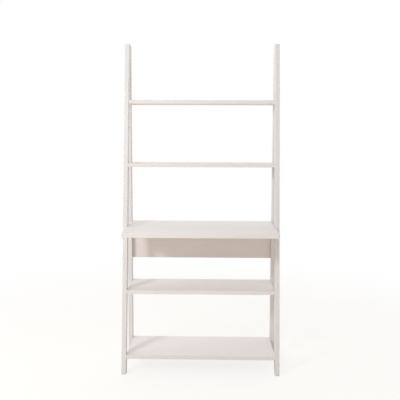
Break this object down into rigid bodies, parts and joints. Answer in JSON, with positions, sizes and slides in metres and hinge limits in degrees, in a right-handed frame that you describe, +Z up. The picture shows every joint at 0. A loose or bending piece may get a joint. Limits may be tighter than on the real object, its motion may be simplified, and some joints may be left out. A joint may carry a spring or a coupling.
{
  "type": "ladder desk",
  "caption": "Ladder desk: two A-shaped wooden side frames carry open shelves, a deeper desk board and a low back panel under it.",
  "frame": {"origin": "on the floor, under the middle of the whole desk's width and depth", "axes": "+X to the right for a person who faces the desk, +Y to the wall behind it, +Z up"},
  "size_m": [0.835, 0.465, 1.75],
  "materials": {
    "painted_frame": "warm off-white satin paint on solid wood",
    "painted_board": "warm off-white satin paint on solid wood",
    "zinc_steel": "zinc-plated steel",
    "cam_zinc": "die-cast zinc, matt",
    "beech_dowel": "bare beech"
  },
  "bodies": {
    "root": {"apex_dowels": "beech_dowel", "apex_screws": "zinc_steel", "back_panel": "painted_board", "back_panel_cam_bolts": "zinc_steel", "back_panel_cams": "cam_zinc", "back_panel_dowels": "beech_dowel", "bottom_shelf": "painted_board", "bottom_shelf_cam_bolts": "zinc_steel", "bottom_shelf_cams": "cam_zinc", "bottom_shelf_dowels": "beech_dowel", "desk_board": "painted_board", "desk_board_cam_bolts": "zinc_steel", "desk_board_cams": "cam_zinc", "desk_board_dowels": "beech_dowel", "left_leg": "painted_frame", "left_upright": "painted_frame", "lower_shelf": "painted_board", "lower_shelf_cam_bolts": "zinc_steel", "lower_shelf_cams": "cam_zinc", "lower_shelf_dowels": "beech_dowel", "right_leg": "painted_frame", "right_upright": "painted_frame", "top_shelf": "painted_board", "top_shelf_cam_bolts": "zinc_steel", "top_shelf_cams": "cam_zinc", "top_shelf_dowels": "beech_dowel", "upper_shelf": "painted_board", "upper_shelf_cam_bolts": "zinc_steel", "upper_shelf_cams": "cam_zinc", "upper_shelf_dowels": "beech_dowel"}
  },
  "joints": []
}
